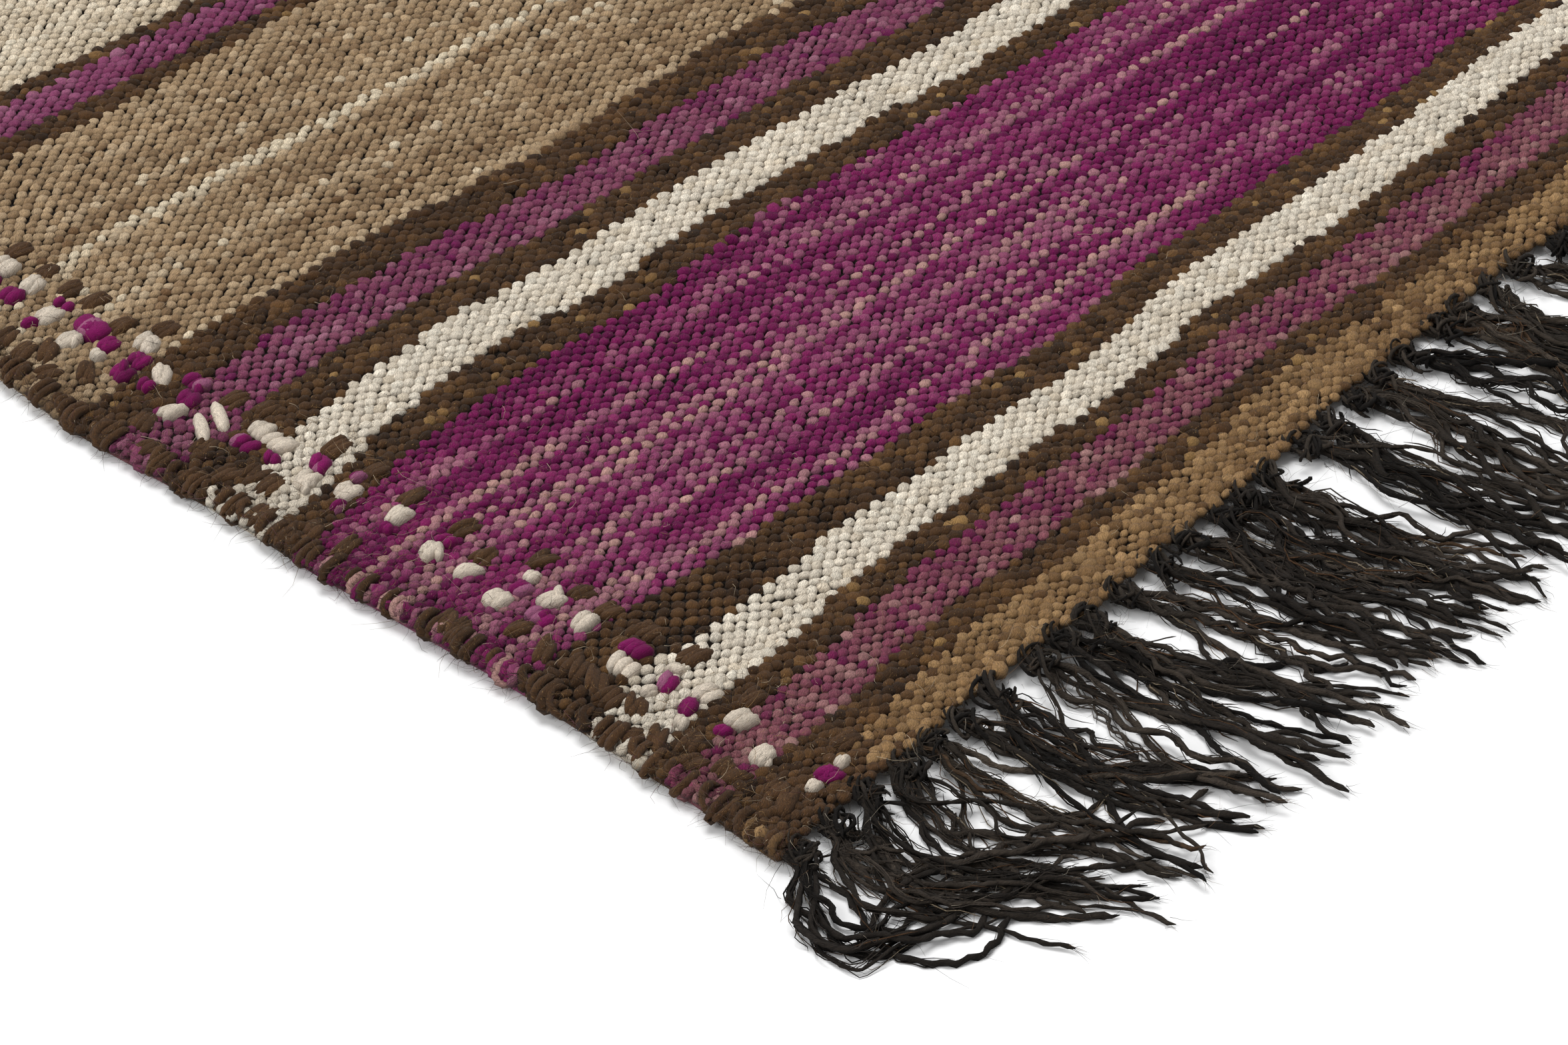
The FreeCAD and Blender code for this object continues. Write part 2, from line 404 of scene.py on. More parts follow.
def grains(centres, axes, sizes, rings, sides, rng, roughness=0.05, fibre_angle=0.5, plump=0.85):
    """Plump grains of yarn, and for each of their points a factor of painted light and shade, from 1.05 on
    top to 0.25 at the root. Each is a dome: on a ring at angle a from the top, the outline is half length
    * sin(a), half width * sin(a) and the height is cos(a), pushed out towards a rounded box; it is closed a
    little below its widest ring."""
    pick, warp, up = axes
    count = len(centres)
    lowest, squareness = 1.9, 2.2
    turn = np.arange(sides) / sides * 2 * np.pi
    down = np.linspace(0, lowest, rings + 1)[1:]
    ring_out = np.sin(down) ** plump
    ring_up = np.sign(np.cos(down)) * np.abs(np.cos(down)) ** plump
    box = (np.abs(np.cos(turn)) ** squareness + np.abs(np.sin(turn)) ** squareness) ** (-1 / squareness)
    u = ring_out[:, None] * (np.cos(turn) * box)[None]
    v = ring_out[:, None] * (np.sin(turn) * box)[None]
    w = np.repeat(ring_up[:, None], sides, axis=1)
    u, v, w = [np.concatenate([[top], outline.ravel()]) for top, outline in ((0.0, u), (0.0, v), (1.0, w))]
    wobble = 1 + roughness * rng.normal(0, 1, (count, len(u)))
    skew = rng.normal(0, 0.12, (count, 1))
    heights = np.broadcast_to(w, (count, len(w)))
    local = np.stack([u * wobble + skew * v, v * wobble, heights * wobble], axis=-1) * sizes[:, None, :]
    points = centres[:, None, :] + (
        local[..., :1] * pick[:, None, :] + local[..., 1:2] * warp[:, None, :]
        + local[..., 2:] * up[:, None, :]
    ) / METRE
    here = np.arange(sides)
    cap = np.stack([np.zeros(sides, int), 1 + here, 1 + (here + 1) % sides], axis=1)
    bottom = (1 + (rings - 1) * sides + here[::-1])[None]
    quads = 1 + ring_quads(rings, sides)[:, [0, 3, 2, 1]]
    # Painted light and shade: the dye is lifted a little on the dome's top and darkened down its sides to the
    # root.
    depth = np.interp(w, [-0.35, 0.35, 0.8, 1.0], [0.25, 0.76, 0.98, 1.05])
    angle = fibre_angle + rng.normal(0, 0.15, (count, 1))
    fibre = np.stack([
        local[..., 0] * np.cos(angle) + local[..., 1] * np.sin(angle),
        local[..., 1] * np.cos(angle) - local[..., 0] * np.sin(angle) + local[..., 2] * 0.6,
        np.broadcast_to(rng.random((count, 1)) * PATTERN_SPREAD, local.shape[:2]),
    ], axis=-1)
    faces = repeated([cap, quads, bottom], count, len(u))
    return (points.reshape(-1, 3), faces, {"fibre": fibre.reshape(-1, 3)}), depth


def with_painted_root_shade(part, colours, depth):
    """The part with one colour for each grain, times painted shade that darkens it towards its root where it
    sinks between the others.
    """
    points, faces, attributes = part
    dyes = np.clip(colours[:, None, :] * depth[None, :, None], DARKEST, 1).reshape(-1, 3)
    return points, faces, {"dye": dyes, **attributes}


def tubes(paths, reach, tilt):
    """Closed tubes along paths (n, points, 3): square to the path at each of its points stands a ring,
    at the given reach in millimetres (n, points, sides). `tilt` is a direction no path runs along."""
    count, steps, sides = reach.shape
    turn = np.arange(sides) / sides * 2 * np.pi
    ahead = unit(np.gradient(paths, axis=1))
    side = unit(np.cross(ahead, np.array(tilt)))
    above = np.cross(side, ahead)
    points = paths[:, :, None, :] + (
        (reach * np.cos(turn))[..., None] * side[:, :, None, :]
        + (reach * np.sin(turn))[..., None] * above[:, :, None, :]
    ) / METRE
    ends = np.stack([np.arange(sides)[::-1], (steps - 1) * sides + np.arange(sides)])
    return points.reshape(-1, 3), repeated([ring_quads(steps, sides), ends], count, steps * sides)


def cords(paths, radius, twist, sides, rng, plies, swell):
    """Yarns carried along paths (n, points, 3). The section's radius swells once for each ply, and
    the swellings turn round the path once every `twist`; the ends narrow and are closed."""
    count, steps, _ = paths.shape
    gone = np.concatenate([
        np.zeros((count, 1)), np.cumsum(np.linalg.norm(np.diff(paths, axis=1), axis=2), axis=1)
    ], axis=1) * METRE
    turn = np.arange(sides) / sides * 2 * np.pi
    start = rng.random((count, 1)) * 6.28
    swelling = np.cos(plies * (turn[None, None] - (gone * 2 * np.pi / twist + start)[:, :, None]))
    share = np.linspace(0, 1, steps)
    narrowing = np.minimum(1, np.minimum(share, 1 - share) * steps / 1.5 + 0.25)
    reach = (radius[:, None] * narrowing)[:, :, None] * (1 + swell * swelling)
    points, faces = tubes(paths, reach, (0.0, 0.35, 1.0))
    round_it = np.broadcast_to(turn, reach.shape) * radius[:, None, None] - (gone * 0.55)[:, :, None]
    fibre = np.stack([
        np.broadcast_to(gone[:, :, None], reach.shape), round_it,
        np.broadcast_to(rng.random((count, 1, 1)) * PATTERN_SPREAD, reach.shape),
    ], axis=-1)
    return points, faces, {"fibre": fibre.reshape(-1, 3)}


# --- materials --------------------------------------------------------------
class Value:
    """A number that varies over a surface. Arithmetic on it adds Math nodes to its material."""

    def __init__(self, material, socket):
        self.material = material
        self.socket = socket

    def maths(self, operation, *inputs):
        node = self.material.add("ShaderNodeMath", {"operation": operation}, dict(enumerate(inputs)))
        return Value(self.material, node.outputs[0])

    def __add__(self, other):
        return self.maths("ADD", self, other)

    __radd__ = __add__

    def __mul__(self, other):
        return self.maths("MULTIPLY", self, other)

    __rmul__ = __mul__

    def __sub__(self, other):
        return self.maths("SUBTRACT", self, other)

    def __rsub__(self, other):
        return self.maths("SUBTRACT", other, self)

    def cosine(self):
        return self.maths("COSINE", self)

    def between(self, low, high):
        """0 below low, 1 above high and eased in between."""
        node = self.material.add(
            "ShaderNodeMapRange", {"interpolation_type": "SMOOTHSTEP"},
            {"Value": self, "From Min": low, "From Max": high},
        )
        return Value(self.material, node.outputs["Result"])


class Finish:
    """A material with one Principled shader. add() makes any node; the rest are short forms of it."""

    def __init__(self, name, **constants):
        self.material = bpy.data.materials.new(name)
        self.material.use_nodes = True
        self.tree = self.material.node_tree
        self.shader = self.tree.nodes["Principled BSDF"]
        for socket, value in constants.items():
            self.shader.inputs[socket.replace("_", " ")].default_value = value

    def add(self, kind, settings=None, sockets=None):
        node = self.tree.nodes.new(kind)
        for setting, value in (settings or {}).items():
            setattr(node, setting, value)
        for socket, value in (sockets or {}).items():
            self.feed(node.inputs[socket], value)
        return node

    def feed(self, socket, value):
        if isinstance(value, Value):
            value = value.socket
        if isinstance(value, bpy.types.NodeSocket):
            self.tree.links.new(value, socket)
        else:
            socket.default_value = value

    def attribute(self, label, output):
        return self.add("ShaderNodeAttribute", {"attribute_name": label}).outputs[output]

    def on_piece(self):
        """Places on the piece itself, in metres."""
        return self.add("ShaderNodeTexCoord").outputs["Object"]

    def noise(self, place, scale, detail=2.0, stretch=(1, 1, 1)):
        """Noise from 0 to 1 over places, stretched by a number for each direction."""
        moved = self.add("ShaderNodeMapping", None, {"Vector": place, "Scale": stretch})
        sockets = {"Vector": moved.outputs[0], "Scale": scale, "Detail": detail}
        return Value(self, self.add("ShaderNodeTexNoise", None, sockets).outputs["Fac"])

    def dyed(self, light):
        """The yarn's dye times a number."""
        sockets = {0: self.attribute("dye", "Color"), "Scale": light}
        return self.add("ShaderNodeVectorMath", {"operation": "SCALE"}, sockets).outputs[0]

    def tint(self, colour, factor, towards):
        """The colour moved towards another by a factor."""
        node = self.add("ShaderNodeMix", {"data_type": "RGBA"}, {0: factor, 6: colour, 7: towards})
        return node.outputs[2]

    def finish(self, colour, roughness, relief, depth):
        """The finished material, with the relief standing out by `depth` millimetres."""
        bump = self.add("ShaderNodeBump", None, {"Height": relief, "Distance": depth / METRE})
        self.feed(self.shader.inputs["Base Color"], colour)
        self.feed(self.shader.inputs["Roughness"], roughness)
        self.feed(self.shader.inputs["Normal"], bump.outputs[0])
        return self.material


def yarn_finish(name, sheen=0.07):
    return Finish(name, Sheen_Weight=sheen, Sheen_Roughness=0.45, Specular_IOR_Level=0.12)


def wool(name, fuzz, depth, sheen=0.07, flecks=None, fleck_share=0.5, tangle=0.22):
    """Spun yarn: fibres run along the yarn as light and dark lines with a fine relief, over its dye.
    Flecks are specks of another colour caught in the yarn."""
    yarn = yarn_finish(name, sheen)
    place = yarn.attribute("fibre", "Vector")
    fibres = yarn.noise(place, 1.0, 3.0, stretch=(1.1, 7.5, 1.0))
    fluff = yarn.noise(place, 3.2, 2.0)
    patches = yarn.noise(yarn.on_piece(), 55.0)
    colour = yarn.dyed(1.0 + fuzz * (fibres - 0.5) + 1.0 * (fluff - 0.5) + tangle * (patches - 0.5))
    if flecks is not None:
        specks = yarn.noise(place, 1.3, 1.0, stretch=(1.0, 2.2, 1.0)).between(0.66, 0.76)
        colour = yarn.tint(colour, fleck_share * specks, (*flecks, 1))
    return yarn.finish(colour, 0.82 + 0.14 * fluff, fibres + 0.5 * fluff, depth)


def relief_wool(name):
    """The same yarn where the weave is one relief: the warp shows as a dark dot between beads, made darker
    still by painted shade of the hollow there.
    """
    yarn = yarn_finish(name)
    fibres = yarn.noise(yarn.attribute("fibre", "Vector"), 1.0, stretch=(1.2, 3.5, 1.0))
    patches = yarn.noise(yarn.on_piece(), 55.0)
    # Dark warp and painted shade: the colour is darkened in the hollow between beads.
    gap = 1 - Value(yarn, yarn.attribute("weave", "Fac")).between(-0.85, -0.1)
    colour = yarn.dyed((0.84 + 0.7 * (fibres - 0.5) + 0.22 * (patches - 0.5)) * (1 - 0.86 * gap))
    return yarn.finish(colour, 0.85 + 0.1 * fibres, fibres, 0.25)


def ground_cloth(name):
    """The warp ground: its dyes, with the weave's beads and gaps drawn over them."""
    cloth = Finish(name, Sheen_Weight=0.03, Specular_IOR_Level=0.05)
    place = cloth.attribute("fibre", "Vector")
    split = cloth.add("ShaderNodeSeparateXYZ", None, {0: place})
    across, along = Value(cloth, split.outputs[0]), Value(cloth, split.outputs[1])
    weave = (across * (math.pi / warp_pitch)).cosine() * (along * (math.pi / pick_pitch)).cosine()
    fibres = cloth.noise(place, 1.0, stretch=(0.8, 2.4, 1.0))
    gap = 1 - weave.between(-0.9, -0.5)
    colour = cloth.dyed((0.9 + 0.5 * (fibres - 0.5)) * (1 - 0.7 * gap))
    return cloth.finish(colour, 0.9 + 0.05 * fibres, weave + 0.3 * fibres, 0.6)


def hair_fibre(name):
    """Loose single hairs, slightly glossy."""
    hair = Finish(name, Specular_IOR_Level=0.35)
    grain = hair.noise(hair.on_piece(), 900.0)
    return hair.finish(hair.dyed(0.8 + 0.4 * grain), 0.5 + 0.2 * grain, grain, 0.02)


weft_wool = wool("hand spun weft wool", 2.4, 0.3, flecks=dye(176, 142, 128), fleck_share=0.35)
brown_wool = wool("hand spun brown wool", 2.1, 0.35, flecks=dye(176, 138, 88))
brocade_wool = wool("brocade wool", 1.5, 0.25)
goat_hair = wool("goat hair yarn", 3.0, 0.4, sheen=0.02, tangle=1.6)
weft_relief = relief_wool("weft wool relief")
warp_ground = ground_cloth("warp ground")
stray_hair = hair_fibre("stray hair")


# --- the weave --------------------------------------------------------------
def in_close_corner(across, along, margin=0.0):
    """The front left corner that is woven bead by bead."""
    return (
        (along < 262 + 1.08 * across + margin)
        & (along < 546 - 1.13 * across + margin)
        & (along > 1.04 * across - 372 - margin)
    )


def lattice():
    """Row and place of every crossing of a warp and a pick, and whether a bead shows there."""
    column, row = np.meshgrid(np.arange(columns), np.arange(rows), indexing="ij")
    return row, (column + 0.5) * warp_pitch, (row + 0.5) * pick_pitch, (column + row) % 2 == 0


def weave_corner():
    """Bead by bead: one piece for each stripe, and two or more for a wide one."""
    row, across, along, bead = lattice()
    near = bead & in_close_corner(across, along)
    row, across, along = row[near], across[near], along[near]
    rng = np.random.default_rng(5)
    colours = bead_colours(across, row, rng)
    number = stripe_at(along)
    count = len(across)
    sizes = bead_size * rng.normal(1, 0.09, (count, 3))
    for kind, plumper, stray in (("camel_end", 1.12, 0.14), ("brown", 1.14, 0.11), ("cream", 1.08, 0.04)):
        members = stripe_kinds[number] == kind
        sizes[members] *= rng.normal(plumper, stray, (members.sum(), 1))
    across = across + rng.normal(0, 0.19, count)
    along = along + rng.normal(0, 0.14, count)
    centres = lay(across, along, bead_base + rng.normal(0, 0.07, count))
    axes = tilted(cloth_axes(across, along, thickness), rng, 0.08)
    made = []
    for stripe in np.unique(number):
        kind = stripe_kinds[stripe]
        members = np.nonzero(number == stripe)[0]
        members = members[np.argsort(across[members], kind="stable")]
        for share, chosen in enumerate(np.array_split(members, math.ceil(len(members) / MOST_BEADS))):
            # Each bead's dye carries painted shade towards its root, softer on the brown beads.
            part, depth = grains(centres[chosen], [axis[chosen] for axis in axes], sizes[chosen], 3, 7, rng)
            made.append(make_mesh(
                f"{kind}_beads_{stripe + 1:02d}_{share + 1}",
                with_painted_root_shade(part, colours[chosen], depth ** (0.75 if kind == "brown" else 1.0)),
                brown_wool if kind == "brown" else weft_wool,
            ))
    return made


def nodes_named(prefix):
    return [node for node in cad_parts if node.startswith(prefix)]


def weave_relief():
    """The rest of the face: a grid with a point on every bead and every gap, high on beads, low in gaps."""
    row, across, along, high = lattice()
    rng = np.random.default_rng(9)
    beads = bead_colours(across.ravel(), row.ravel(), rng).reshape(columns, rows, 3)
    beads = np.where(high[..., None], beads, np.roll(beads, 1, axis=1))
    heights = np.where(high, thickness - 0.12, thickness - 1.05) + rng.normal(0, 0.06, high.shape)
    points = lay(across, along, heights)
    fibre = np.stack([across + 0.4 * along, along - 0.4 * across, np.zeros_like(across)], axis=-1)
    weave = np.where(high, 1.0, -1.0)
    index = np.arange(columns * rows).reshape(columns, rows)
    a, b, c, d = index[:-1, :-1], index[1:, :-1], index[1:, 1:], index[:-1, 1:]
    far = ~in_close_corner(across, along, -1.2)
    shown = far[:-1, :-1] & far[1:, :-1] & far[1:, 1:] & far[:-1, 1:]
    ridge = high[:-1, :-1]
    kinds = stripe_kinds[stripe_at(along)[0, :-1]]
    made = []
    for kind, yarn in yarns.items():
        mine = shown & (kinds == kind)[None, :]
        one, other = mine & ridge, mine & ~ridge
        triangles = np.concatenate([
            np.stack([a[one], b[one], c[one]], 1), np.stack([a[one], c[one], d[one]], 1),
            np.stack([a[other], b[other], d[other]], 1), np.stack([b[other], c[other], d[other]], 1),
        ])
        used, faces = np.unique(triangles, return_inverse=True)
        attributes = {"dye": beads.reshape(-1, 3)[used], "fibre": fibre.reshape(-1, 3)[used]}
        attributes["weave"] = weave.ravel()[used]
        part = points.reshape(-1, 3)[used], [faces.reshape(-1, 3)], attributes
        piece = make_mesh(f"{kind}_weave", part, weft_relief)
        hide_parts(*nodes_named(yarn["node"]))
        made.append(piece)
    return made


def lay_ground():
    """The cloth's core, closed all round: dark warp above, the stripes again on the underside."""
    edge = 0.2
    across = np.linspace(1.0, width - 1.0, 46)
    along = np.clip(np.concatenate([
        np.linspace(start + edge, end - edge, max(1, round((end - start) / 11.0)) + 1)
        for _, start, end in stripes
    ]), 2.0, length - 2.0)
    grid_across, grid_along = np.meshgrid(across, along, indexing="ij")
    top = lay(grid_across, grid_along, thickness - 1.15)
    under = lay(grid_across, grid_along, 0.25)
    count = grid_across.size
    index = np.arange(count).reshape(grid_across.shape)
    sheet = np.stack([index[:-1, :-1], index[1:, :-1], index[1:, 1:], index[:-1, 1:]], -1).reshape(-1, 4)
    ring = np.concatenate([index[:, 0], index[-1, 1:], index[-2::-1, -1], index[0, -2:0:-1]])
    wall = np.stack([ring, ring + count, np.roll(ring, -1) + count, np.roll(ring, -1)], axis=1)
    stripe_dyes = np.array([shade_of(kind, 0.5) for kind in stripe_kinds])[stripe_at(along)]
    dark = np.broadcast_to(WARP_DYE, (count, 3))
    light = np.broadcast_to(stripe_dyes[None], grid_across.shape + (3,)).reshape(-1, 3)
    place = np.stack([grid_across, grid_along, np.zeros_like(grid_across)], -1).reshape(-1, 3)
    part = (
        np.concatenate([top.reshape(-1, 3), under.reshape(-1, 3)]), [sheet, sheet[:, ::-1] + count, wall],
        {"dye": np.concatenate([dark, light]), "fibre": np.concatenate([place, place])},
    )
    piece = make_mesh("warp_ground", part, warp_ground)
    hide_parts("warp_cords")
    return piece


# --- selvedges --------------------------------------------------------------
def selvedge(side):
    """Weft turns round the outermost warps: short thick loops, set side by side, in their stripes' colours
    or in brown brocade yarn. A loop is an arc in the upright plane across the edge, slanted along it."""
    rng = np.random.default_rng(21 if side == "left" else 22)
    along = np.cumsum(rng.uniform(1.3, 2.7, int(length / 1.8)))
    along = along[along < length - 1.5]
    count = len(along)
    near = (along < CLOSE_ALONG) & (side == "left")
    number = stripe_at(along + rng.normal(0, 0.8, count))
    row = np.clip((along / pick_pitch).astype(int), 0, rows - 1)
    colours = bead_colours(np.full(count, 60.0), row, rng)
    share = np.array([yarns[kind]["wrapped"] for kind in stripe_kinds])[number]
    by_rows = along * FULL_TURN / knot_row_pitch
    wrapped = rng.random(count) < share + 0.3 * np.cos(by_rows)
    colours = np.where(wrapped[:, None], dye(78, 54, 33) * rng.normal(1, 0.16, (count, 1)), colours)
    radius = np.where(wrapped, 1.12, 1.15) * rng.normal(1, 0.14, count)
    slant = 0.9 + rng.normal(0, 0.9, count)
    lump = np.cos(by_rows + np.sin(along / 40.0))
    parts = []
    for chosen, steps, sides in near_and_far(near, (10, 8), (5, 4)):
        turn = np.linspace(math.radians(150), math.radians(-120), steps)[None]
        brown_one = wrapped[chosen, None]
        hoop = np.where(brown_one, 1.75, 1.25)
        reach = np.where(brown_one, 3.4, 2.4) + 1.5 * lump[chosen, None]
        reach = reach + 0.4 * rng.normal(0, 1, (chosen.sum(), 1))
        middle = np.where(brown_one, 2.75, 2.4) + 0.25 * rng.normal(0, 1, (chosen.sum(), 1))
        inwards = np.where(brown_one, 4.1, 3.6) - reach * np.cos(turn)
        height = np.maximum(middle + hoop * np.sin(turn), radius[chosen, None] * 0.9 + 0.05)
        place = along[chosen, None] + slant[chosen, None] * np.sin(turn)
        paths = lay(inwards if side == "left" else width - inwards, place, height)
        parts.append(coloured(cords(paths, radius[chosen], 9.0, sides, rng, 3, 0.08), colours[chosen]))
    piece = make_mesh("selvedge_turns_" + side, joined(parts), brown_wool)
    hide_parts("selvedge_cord_" + side)
    return piece


# --- brocade ----------------------------------------------------------------
# The first rows of the left column from the front end, one word to a row: C cream, M magenta,
# small letters for a small knot, F a large magenta one, L for long loose loops. With each row is
# how far its middle lies on from the front end and in from the left edge, on the floor.
front_rows = [
    ("cMc", 3.5, 26), ("C", 18, 21), ("mC", 30, 25), ("cMC", 42, 24), ("cMc", 53, 26), ("CM", 66, 27),
    ("C", 82.5, 30), ("MC", 93, 28), ("CMc", 104.5, 28), ("C", 117.5, 26), ("Cm", 130, 28), ("mC", 145, 29),
    ("mCm", 160.5, 30), ("CM", 175, 30), ("mC", 186.5, 31), ("MC", 198.5, 31), ("LL", 208, 28),
    ("CMM", 222, 31), ("mC", 232, 32), ("MMC", 243, 35), ("cM", 250, 32), ("CF", 261, 33), ("mCm", 273.5, 33),
    ("MC", 284.5, 36), ("MC", 296, 37),
]
other_words = ["CM", "MC", "C", "mC", "CM", "MC", "cMc", "mCm"]
# Half length along the pick and half width along the rug of each kind of knot.
knot_reach = {"C": (3.9, 2.9), "M": (3.5, 2.8), "c": (2.4, 1.9), "m": (2.4, 1.9), "L": (3.6, 6.2),
              "F": (4.4, 5.2)}
# How many floats a knot has, if not three. Three lie closer together than fewer do.
few_plies = {"L": 1, "c": 2, "m": 2}
# Each colour's dye, how far it strays, and how high its floats stand for the height of the brocade.
knot_yarns = {"cream": (dye(220, 206, 188), 0.05, 0.96), "magenta": (dye(124, 18, 86), 0.12, 0.94),
              "brown": (dye(82, 57, 35), 0.1, 0.62)}
KNOT_SUNK = 0.9                 # how far below the face a knot starts


def cloth_row(word, onwards, inwards):
    """A row's word with the place on the cloth that comes to lie there, found by taking off the drift."""
    along, across = onwards, inwards
    for _ in range(8):
        sideways, lengthways = drift(across, max(along, 0.0))
        along, across = onwards - lengthways, inwards - sideways
    return word, along, across


def brocade_layout(side):
    """Rows of the whole column: the given ones at the front left, and rows of the same kinds up the rest."""
    rng = np.random.default_rng(31 if side == "left" else 32)
    layout = [cloth_row(*row) for row in front_rows] if side == "left" else []
    reached = layout[-1][1] if layout else 3.5 - knot_row_pitch
    while reached < length - knot_row_pitch - 3:
        reached += knot_row_pitch * rng.uniform(0.93, 1.07)
        word = other_words[rng.integers(len(other_words))]
        layout.append((word, reached, 27 + 3 * math.sin(reached / 90.0)))
    return layout


def knot_floats(side, rng):
    """Every float as (across, along, half length, half width, turn), listed by colour."""
    floats = {colour: [] for colour in knot_yarns}
    for word, along, middle in brocade_layout(side):
        reaches = [knot_reach[letter] for letter in word]
        inner = middle - sum(1.8 * reach for reach, _ in reaches) / 2
        edge = inner
        lean = rng.normal(-0.9, 0.7)
        for letter, (half, half_high) in zip(word, reaches):
            knot = floats["magenta" if letter in "MmF" else "cream"]
            plies = few_plies.get(letter, 3)
            spacing, thickest = (0.44, 0.64) if plies == 3 else (0.6, 0.74)
            together = rng.normal(-0.15, 0.3)
            for ply in range(plies):
                offset = (ply - (plies - 1) / 2) * spacing * half_high
                turned = 1.15 if letter == "L" else together + rng.normal(0, 0.1)
                reach, thick = half * rng.uniform(0.82, 1.08), half_high * thickest
                if letter == "L":
                    reach, thick = half_high * 1.05, 1.9
                knot.append((edge + half, along + lean + offset + rng.normal(0, 0.5), reach, thick, turned))
            if plies == 3 and rng.random() < 0.6:
                knot.append((edge + half + rng.normal(0, 1.0), along + lean + rng.normal(0, 0.8),
                             half * 0.75, half_high * 0.5, rng.normal(0.8, 0.4)))
            lean += rng.normal(0.4, 1.0)
            edge += 1.8 * half
        # Brown floats lie between the knots and the selvedge, and one bundle on the knots' other side.
        patched = 0.5 if stripe_kinds[stripe_at(along)] == "magenta_field" else 0.85
        for patch in range(2):
            place = inner * rng.uniform(0.25, 0.85)
            reach = rng.uniform(3.6, 5.6)
            if rng.random() < patched:
                together = rng.normal(0.1, 0.25)
                for ply in range(3):
                    floats["brown"].append((place + rng.normal(0, 0.4), along + (ply - 1) * 1.3 + patch * 4.5,
                                            reach * rng.uniform(0.8, 1.1), rng.uniform(1.25, 1.7),
                                            together + rng.normal(0, 0.12)))
        if rng.random() < 0.8:
            reach = rng.uniform(3.6, 4.9)
            slip = rng.normal(1.0, 1.5)
            for ply in range(3):
                floats["brown"].append((edge + reach + 0.4, along + slip + (ply - 1) * 1.3, reach,
                                        rng.uniform(1.25, 1.7), rng.normal(-0.15, 0.12)))
    return floats


def brocade(side):
    """Knots of supplementary yarn, each of thick floats lying side by side: cream, magenta and brown."""
    rng = np.random.default_rng(41 if side == "left" else 42)
    floats = knot_floats(side, rng)
    made = []
    for colour, (yarn_dye, stray, standing) in knot_yarns.items():
        across, along, half, half_high, turned = np.array(floats[colour]).T
        near = (along < CLOSE_ALONG) & (side == "left")
        if side == "right":
            across, turned = width - across, -turned
        parts = []
        for chosen, rings, sides in near_and_far(near, (6, 14), (2, 6)):
            count = chosen.sum()
            pick, warp, up = cloth_axes(across[chosen], along[chosen], thickness)
            pick = unit(pick + turned[chosen, None] * warp + rng.normal(0, 0.07, (count, 1)) * up)
            warp = unit(np.cross(up, pick))
            high = (knot_top - thickness + KNOT_SUNK) * standing * rng.normal(1, 0.12, count)
            sizes = np.stack([half[chosen], half_high[chosen], high], axis=1)
            centres = lay(across[chosen], along[chosen], thickness - KNOT_SUNK)
            part, depth = grains(
                centres, (pick, warp, np.cross(pick, warp)), sizes, rings, sides, rng,
                roughness=0.035, fibre_angle=0.3, plump=0.8,
            )
            shade = rng.normal(1, stray, (count, 1))
            paler = (rng.random((count, 1)) < 0.09) & (colour == "magenta")
            colours = np.where(paler, dye(156, 92, 124), yarn_dye * shade)
            # Painted shade towards each float's root, softer than on the beads.
            parts.append(with_painted_root_shade(part, colours, depth**0.7))
        wool_used = brown_wool if colour == "brown" else brocade_wool
        piece = make_mesh(f"brocade_knots_{colour}_{side}", joined(parts), wool_used)
        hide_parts(f"brocade_{colour}_{side}")
        made.append(piece)
    return made


# --- fringe -----------------------------------------------------------------
# Where the strands of a bundle head when they leave the weave and when they end, in degrees from
# straight off the rug, positive to the right: (place of the bundle across, degrees).
leaving = [(0, -34), (26, -24), (60, -10), (110, 4), (150, 12), (260, 10), (400, -4), (620, 14)]
ending = [(0, 62), (26, 40), (60, 16), (100, 10), (150, 18), (260, 6), (400, 8), (620, -20)]
# The waves of a strand's heading: (how many degrees, least and most waves in its length).
heading_waves = [(17, 0.8, 2.2), (18, 3, 6), (17, 8, 12)]
STRAND_STEPS = 43
WRAPS = 10                      # coils of yarn round each bundle


